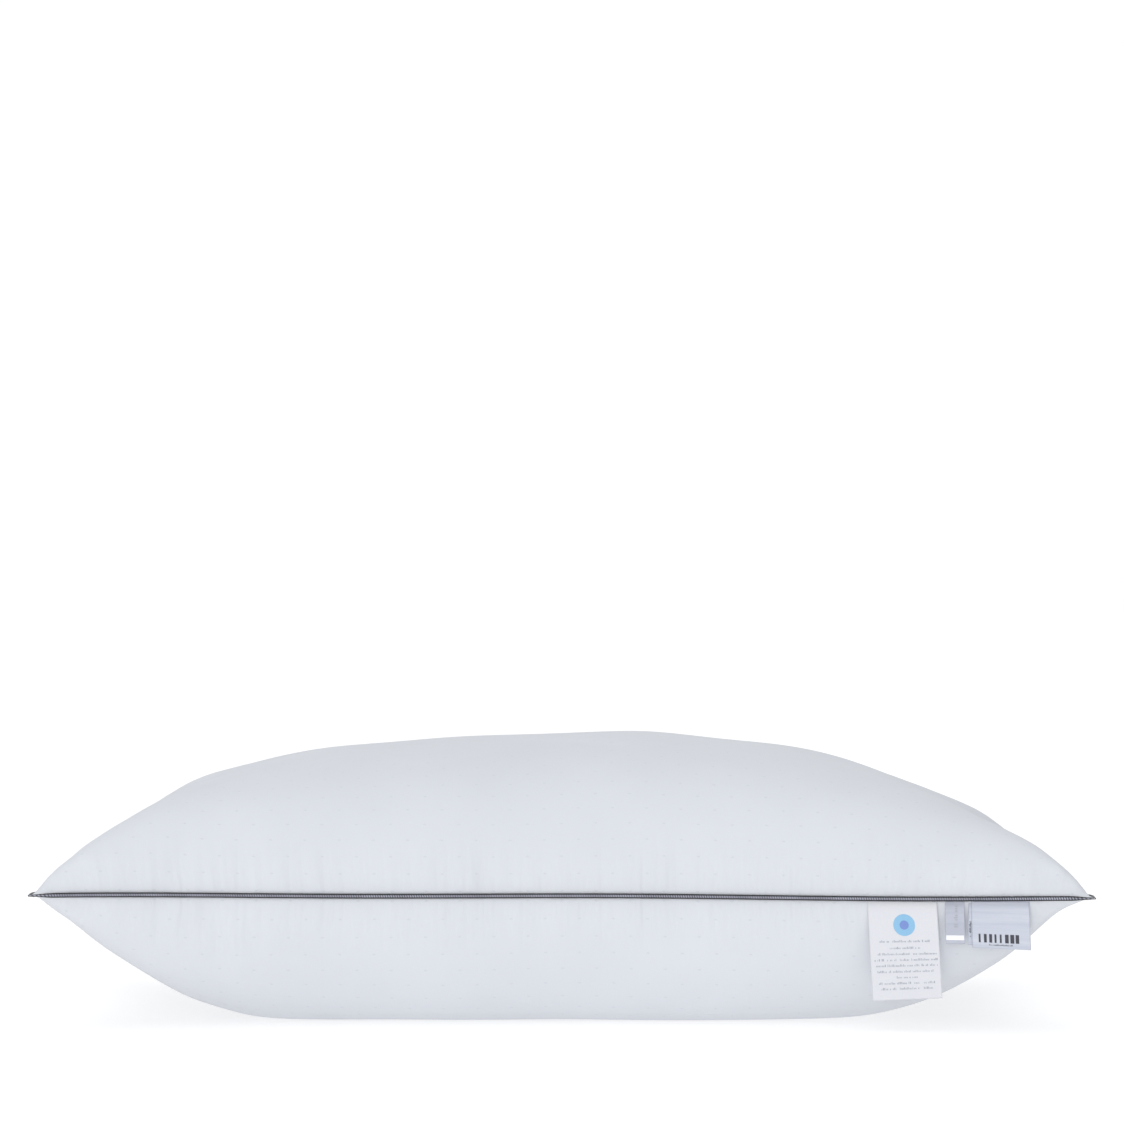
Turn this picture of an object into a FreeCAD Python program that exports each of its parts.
"""A piped bed pillow, lying flat on a surface, as an assembly of its sewn pieces.

Millimetres. +X runs along the long side, +Y along the short side, +Z up. The origin is on the surface that
the pillow rests on, below the middle of the pillow. The seam lies in one level plane. Everything at the seam
is set out from one closed seam line of tangent arcs: four sides that curve inwards, because the filling pulls
them in, and four small round corners.
"""

import FreeCAD
import Part
import math
import os

Vector = FreeCAD.Vector
UP = Vector(0, 0, 1)

# Overall size
pillow_length = 700.0
pillow_depth = 500.0
seam_height = 88.0
crown_rise = 102.5
belly_drop = 104.0
long_side_pull = 32.0
short_side_pull = 34.0
corner_radius = 8.0
least_corner_radius = 0.5
seam_edge_margin = 0.3
rim_height = 1.0

# How full the panels are: 1 - |s|**fullness, raised to the shoulder power, along each direction, and how
# the two are joined: a low corner_blend makes round cones of the corners
length_fullness = 2.6
length_shoulder = 0.82
depth_fullness = 2.6
depth_shoulder = 0.70
corner_blend = 1.5
length_stations = 17
depth_stations = 15

# Ticking, seam and filling
ticking_thickness = 0.5
seam_allowance = 10.0
layer_clearance = 0.1
filling_clearance = 0.4
filling_seam_clearance = 1.5

# Piping
piping_diameter = 3.3
piping_cover_thickness = 0.3
piping_cord_clearance = 0.1
piping_gap = 0.7
piping_flange_thickness = 0.5

# Threads
thread_diameter = 0.4
stitch_inset = 3.0
overlock_width = 3.0
overlock_thickness = 0.3
closing_seam_length = 240.0
closing_thread_offset = 0.35
closing_thread_drop = 2.0

# Labels: width along the seam, hanging length, place of the middle along the pillow
label_thickness = 0.2
tab_depth = 8.0
outer_leaf_offset = 0.5
inner_leaf_offset = 0.2
leaf_bend_drop = 2.0
hinge_gap = 0.25
info_label_width = 46.0
info_label_length = 65.0
info_label_place = 224.0
size_tag_width = 12.5
size_tag_length = 28.0
size_tag_place = 258.5
size_tag_leaf = 0.15
size_tag_fold = 1.2
maker_label_width = 38.5
maker_label_length = 31.0
maker_label_place = 288.0
care_label_width = 37.0
care_label_length = 29.0

# Worked out from the sizes above
piping_radius = piping_diameter / 2
seam_reach = piping_gap + piping_diameter
corner_x = pillow_length / 2 - seam_reach - corner_radius
corner_y = pillow_depth / 2 - seam_reach - corner_radius
upper_rim = piping_flange_thickness / 2 + layer_clearance
lower_rim = upper_rim + 2 * (label_thickness + layer_clearance)


def side_arc(run, pull):
    """Radius of a side that curves in by pull and is tangent to corner circles run away from its middle."""
    rise = corner_radius - pull
    return (run ** 2 + rise ** 2 - corner_radius ** 2) / (2 * pull)


long_radius = side_arc(corner_x, long_side_pull)
short_radius = side_arc(corner_y, short_side_pull)
long_centre = corner_y + corner_radius - long_side_pull + long_radius
short_centre = corner_x + corner_radius - short_side_pull + short_radius


def seam_arcs(offset):
    """The seam line moved outwards by offset, anticlockwise: (centre, radius, start, middle, end) per arc."""
    long_lean = math.atan2(corner_x, long_centre - corner_y)
    short_lean = math.atan2(corner_y, short_centre - corner_x)
    arcs = []
    for quarter in range(4):
        turn = quarter * math.pi / 2
        along_x = quarter % 2 == 0
        centre = Vector(corner_x, corner_y, 0) if along_x else Vector(corner_y, corner_x, 0)
        first = -short_lean if along_x else -long_lean
        last = math.pi / 2 + (long_lean if along_x else short_lean)
        side_x, side_r, lean = (
            (short_centre, short_radius, short_lean) if along_x else (long_centre, long_radius, long_lean)
        )
        side = [Vector(side_x, 0, 0) - (side_r - offset) * Vector(math.cos(a), math.sin(a), 0)
                for a in (lean, 0, -lean)]
        corner = [centre + (corner_radius + offset) * Vector(math.cos(a), math.sin(a), 0)
                  for a in (first, (first + last) / 2, last)]
        rotate = FreeCAD.Rotation(UP, math.degrees(turn))
        arcs.append((rotate.multVec(Vector(side_x, 0, 0)), side_r - offset, [rotate.multVec(p) for p in side]))
        arcs.append((rotate.multVec(centre), corner_radius + offset, [rotate.multVec(p) for p in corner]))
    return arcs


def outline_corner(offset):
    """Where the two side arcs, moved outwards by offset, would meet if the corner were sharp."""
    x, y = corner_x, corner_y
    for _ in range(60):
        y = long_centre - math.sqrt((long_radius - offset) ** 2 - x ** 2)
        x = short_centre - math.sqrt((short_radius - offset) ** 2 - y ** 2)
    return x, y


def sharp_arcs(offset):
    """The four side arcs alone, for a line so far inside the seam that its corners have no radius left."""
    x, y = outline_corner(offset)
    side_x = short_centre - short_radius + offset
    side_y = long_centre - long_radius + offset
    corners = [Vector(x, -y, 0), Vector(x, y, 0), Vector(-x, y, 0), Vector(-x, -y, 0)]
    middles = [Vector(side_x, 0, 0), Vector(0, side_y, 0), Vector(-side_x, 0, 0), Vector(0, -side_y, 0)]
    return [(corners[k], middles[k], corners[(k + 1) % 4]) for k in range(4)]


def seam_wire(offset, height):
    """The closed seam line moved outwards by offset, at a height above the rest plane."""
    lift = Vector(0, 0, height)
    rounded = corner_radius + offset > least_corner_radius
    runs = [points for _, _, points in seam_arcs(offset)] if rounded else sharp_arcs(offset)
    return Part.Wire([Part.Arc(*[p + lift for p in run]).toShape() for run in runs])


def seam_plate(offset, low, high):
    """Everything inside the seam line, moved outwards by offset, between two heights above the seam plane."""
    face = Part.Face(seam_wire(offset, seam_height + low))
    return face.extrude(Vector(0, 0, high - low))


def seam_band(inner, outer, low, high):
    """A flat strip that follows the seam line from the inner offset to the outer one."""
    return seam_plate(outer, low, high).cut(seam_plate(inner, low - 1, high + 1))


def seam_tube(offset, height, radius):
    """A round tube all the way along the seam line, one piece of a torus for each arc."""
    pieces = []
    for centre, _, points in seam_arcs(offset):
        start, middle, end = points
        travel = (middle - start).cross(end - start)
        axis = UP if travel.z > 0 else -UP
        turn = (start - centre).getAngle(end - centre)
        along = axis.cross(start - centre)
        ring = Part.Circle(start + Vector(0, 0, seam_height + height), along.normalize(), radius)
        disc = Part.Face(Part.Wire(ring.toShape()))
        pieces.append(disc.revolve(centre, axis, math.degrees(turn)))
    return pieces[0].multiFuse(pieces[1:]).removeSplitter()


def fullness(share, power, shoulder):
    """How much of the full height a panel has, at a share of the way from the middle to the seam."""
    return max(0.0, 1.0 - abs(share) ** power) ** shoulder


def crown_share(s, t):
    """The crown's height as a share of its rise: a soft minimum of the fullness along and across."""
    along = fullness(s, length_fullness, length_shoulder)
    across = fullness(t, depth_fullness, depth_shoulder)
    if along * across == 0:
        return 0.0
    joined = (along ** -corner_blend + across ** -corner_blend) / 2
    return joined ** (-1 / corner_blend)


def half_body(offset, rim, rise):
    """The upper half of a filled shape: a crown that meets the level plane at rim along the side arcs."""
    reach_x, reach_y = outline_corner(offset)
    grid = []
    for i in range(length_stations):
        s = math.sin(math.pi * (i / (length_stations - 1) - 0.5))
        side_y = long_centre - math.sqrt((long_radius - offset) ** 2 - (s * reach_x) ** 2)
        row = []
        for j in range(depth_stations):
            t = math.sin(math.pi * (j / (depth_stations - 1) - 0.5))
            side_x = short_centre - math.sqrt((short_radius - offset) ** 2 - (t * reach_y) ** 2)
            row.append(Vector(s * side_x, t * side_y, seam_height + rim + rise * crown_share(s, t)))
        grid.append(row)
    surface = Part.BSplineSurface()
    surface.interpolate(grid)
    crown = surface.toShape()
    base = Part.Face(Part.Wire(Part.__sortEdges__(crown.Edges)))
    solid = Part.Solid(Part.Shell([crown, base]))
    if solid.Volume < 0:
        solid.reverse()
    return solid


def trimmed_half(inset, rim, rise, reach):
    """An upper half body set in by inset all over, trimmed to the round-cornered seam line and cut off level
    at reach above the seam plane. It stands on a low upright rim, so that thin strips fit at the very edge."""
    top_of_rim = rim + rim_height
    crown = half_body(seam_edge_margin - inset, top_of_rim, rise - rim_height - inset)
    crown = crown.common(seam_plate(-inset, 0, reach - inset))
    return crown.fuse(seam_plate(-inset, rim, top_of_rim))


def crowned_panel(rim, rise, reach):
    """A crowned shell one cloth thickness thick, with its seam allowance turned in flat along the seam."""
    allowance = seam_band(-seam_allowance, 1, rim, rim + ticking_thickness)
    hollow = trimmed_half(ticking_thickness, rim, rise, reach).cut(allowance)
    return trimmed_half(0, rim, rise, reach).cut(hollow)


def below_seam(shape):
    """The mirror image of a shape in the level plane of the seam."""
    return shape.mirror(Vector(0, 0, seam_height), UP)


def top_panel():
    return crowned_panel(upper_rim, crown_rise - upper_rim, crown_rise + 1)


def bottom_panel():
    """The lower panel is the same shell turned over, flattened by the surface that the pillow rests on."""
    return below_seam(crowned_panel(lower_rim, belly_drop - lower_rim, seam_height))


def fibre_filling():
    """One soft block that fills both panels and stops short of the sewn edge."""
    inset = ticking_thickness + filling_clearance
    upper = trimmed_half(inset, upper_rim, crown_rise - upper_rim, crown_rise + 1)
    lower = below_seam(trimmed_half(inset, lower_rim, belly_drop - lower_rim, seam_height))
    core_inset = -(seam_allowance + overlock_thickness + filling_seam_clearance)
    core = seam_plate(core_inset, -lower_rim, upper_rim)
    room = ticking_thickness + thread_diameter + 2 * layer_clearance + filling_clearance
    slot = seam_band(core_inset, 1, -lower_rim - room, upper_rim + room)
    return upper.fuse([core, lower]).cut(slot).removeSplitter()


def piping_cord():
    radius = piping_radius - piping_cover_thickness - piping_cord_clearance
    return seam_tube(piping_gap + piping_radius, 0, radius)


def piping_cover():
    """A strip wrapped round the cord, with its two edges laid flat together into the seam."""
    middle = piping_gap + piping_radius
    half = piping_flange_thickness / 2
    tube = seam_tube(middle, 0, piping_radius)
    flange = seam_band(-seam_allowance, middle, -half, half)
    bore = seam_tube(middle, 0, piping_radius - piping_cover_thickness)
    return tube.fuse(flange).cut(bore)


def needle_thread():
    height = upper_rim + ticking_thickness + layer_clearance + thread_diameter / 2
    return seam_tube(-stitch_inset, height, thread_diameter / 2)


def bobbin_thread():
    height = lower_rim + ticking_thickness + layer_clearance + thread_diameter / 2
    return seam_tube(-stitch_inset, -height, thread_diameter / 2)


def overlock_thread():
    """Loops round the raw edges of the seam allowance, as one thin channel that wraps them."""
    top = upper_rim + ticking_thickness + layer_clearance
    bottom = lower_rim + ticking_thickness + layer_clearance
    edge = -(seam_allowance + layer_clearance)
    lap = -(seam_allowance - overlock_width)
    wrap = seam_band(edge - overlock_thickness, lap, -bottom - overlock_thickness, top + overlock_thickness)
    return wrap.cut(seam_band(edge, lap + 1, -bottom, top))


def closing_thread():
    """The visible stitches of the gap that was sewn up last, in the middle of the rear long side."""
    radius = long_radius - closing_thread_offset
    half_turn = closing_seam_length / 2 / radius
    height = seam_height - closing_thread_drop
    centre = Vector(0, long_centre, 0)
    heading = Vector(-math.sin(half_turn), -math.cos(half_turn), 0)
    start = centre + radius * heading + Vector(0, 0, height)
    ring = Part.Circle(start, UP.cross(heading), thread_diameter / 2)
    disc = Part.Face(Part.Wire(ring.toShape()))
    return disc.revolve(centre, UP, 2 * math.degrees(half_turn))


def front_seam(place):
    """The point of the front seam line at a place along the pillow, and its heading in degrees."""
    y = -(long_centre - math.sqrt(long_radius ** 2 - place ** 2))
    return Vector(place, y, seam_height), -math.degrees(math.asin(place / long_radius))


def at_front_seam(shape, place):
    """Turns a shape made at the origin, +X along the seam and -Y outwards, onto the front seam line."""
    point, heading = front_seam(place)
    shape.rotate(Vector(0, 0, 0), UP, heading)
    shape.translate(point)
    return shape


def leaf(width, length, thickness, offset):
    """A label leaf that hangs from its bend below the piping, in the seam's own directions."""
    top = -(leaf_bend_drop + hinge_gap)
    return Part.makeBox(width, thickness, length, Vector(-width / 2, -offset - thickness / 2, top - length))


def info_label():
    return at_front_seam(leaf(info_label_width, info_label_length, label_thickness, outer_leaf_offset),
                         info_label_place)


def size_tag():
    """A tape folded double, with the fold at the bottom."""
    thickness = 2 * size_tag_leaf + layer_clearance
    offset = outer_leaf_offset
    outside = leaf(size_tag_width, size_tag_length, thickness, offset)
    inside = leaf(size_tag_width + 2, size_tag_length - size_tag_fold, layer_clearance, offset)
    return at_front_seam(outside.cut(inside), size_tag_place)


def maker_label():
    return at_front_seam(leaf(maker_label_width, maker_label_length, label_thickness, outer_leaf_offset),
                         maker_label_place)


def care_label():
    return at_front_seam(leaf(care_label_width, care_label_length, label_thickness, inner_leaf_offset),
                         maker_label_place)


def tab(width, offset, top):
    """The sewn-in end of a label: flat in the seam, then bent down to where the leaf hangs."""
    outer = offset + label_thickness / 2
    flat = Part.makeBox(width, tab_depth + outer, label_thickness,
                        Vector(-width / 2, -outer, -top - label_thickness))
    bend = Part.makeBox(width, label_thickness, leaf_bend_drop - top,
                        Vector(-width / 2, -outer, -leaf_bend_drop))
    return flat.fuse(bend).removeSplitter()


def label_tabs():
    upper_layer = upper_rim
    lower_layer = upper_rim + label_thickness + layer_clearance
    tabs = [
        at_front_seam(tab(info_label_width, outer_leaf_offset, upper_layer), info_label_place),
        at_front_seam(tab(size_tag_width, outer_leaf_offset, upper_layer), size_tag_place),
        at_front_seam(tab(maker_label_width, outer_leaf_offset, upper_layer), maker_label_place),
        at_front_seam(tab(care_label_width, inner_leaf_offset, lower_layer), maker_label_place),
    ]
    return Part.makeCompound(tabs)


pieces = {
    "top_panel": top_panel,
    "bottom_panel": bottom_panel,
    "fibre_filling": fibre_filling,
    "piping_cord": piping_cord,
    "piping_cover": piping_cover,
    "needle_thread": needle_thread,
    "bobbin_thread": bobbin_thread,
    "overlock_thread": overlock_thread,
    "closing_thread": closing_thread,
    "label_tabs": label_tabs,
    "info_label": info_label,
    "size_tag": size_tag,
    "maker_label": maker_label,
    "care_label": care_label,
}

os.makedirs("parts", exist_ok=True)
for name, make in pieces.items():
    shape = make()
    shape.exportStep(f"parts/{name}.step")
    box = shape.BoundBox
    print(f"{name}: {shape.Volume:.1f} mm3, {len(shape.Solids)} solid(s), valid {shape.isValid()}, "
          f"{box.XLength:.1f} x {box.YLength:.1f} x {box.ZLength:.1f}, from z {box.ZMin:.2f}")

for label, place in (("info_label", info_label_place), ("size_tag", size_tag_place),
                     ("maker_label", maker_label_place)):
    point, heading = front_seam(place)
    turned = math.radians(heading)
    hinge = point + outer_leaf_offset * Vector(math.sin(turned), -math.cos(turned), 0)
    hinge.z -= leaf_bend_drop + hinge_gap
    print(f"hinge of {label}: {hinge}, axis {-math.cos(turned):.5f}, {-math.sin(turned):.5f}, 0")
